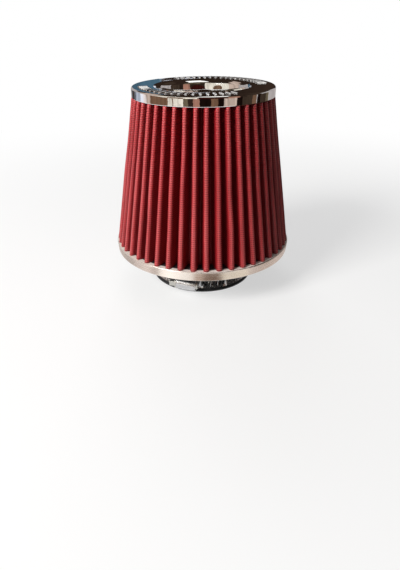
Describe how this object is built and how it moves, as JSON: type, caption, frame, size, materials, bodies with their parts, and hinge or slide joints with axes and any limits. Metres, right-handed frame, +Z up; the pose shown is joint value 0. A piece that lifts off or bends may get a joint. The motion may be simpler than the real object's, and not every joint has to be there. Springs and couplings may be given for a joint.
{
  "type": "cone air filter",
  "caption": "Cone air filter: an outer and an inverted inner cone of pleated media under an open chromed cap, with a rubber neck that a hose clamp closes on an intake pipe.",
  "frame": {"origin": "centre of the neck's lower end, on which the filter stands", "axes": "+Z up along the filter's axis, -Y towards the viewer"},
  "size_m": [0.152, 0.152, 0.1626],
  "materials": {
    "cap_chrome": "mirror chrome on pressed sheet",
    "seal_compound": "cast black compound",
    "outer_gauze": "oiled cotton gauze under a fine wire screen",
    "inner_gauze": "oiled cotton gauze under a fine wire screen",
    "end_cap_rubber": "moulded, satin",
    "ring_metal": "satin rolled sheet",
    "base_rubber": "moulded, matt",
    "clamp_steel": "bright rolled strip",
    "screw_steel": "zinc-plated steel"
  },
  "bodies": {
    "root": {"top_cap": "cap_chrome", "top_seal": "seal_compound", "outer_pleats": "outer_gauze", "inner_pleats": "inner_gauze", "inner_end_cap": "end_cap_rubber", "trim_ring": "ring_metal", "base": "base_rubber", "clamp_band": "clamp_steel", "clamp_housing": "clamp_steel", "clamp_screw": "screw_steel"}
  },
  "joints": []
}
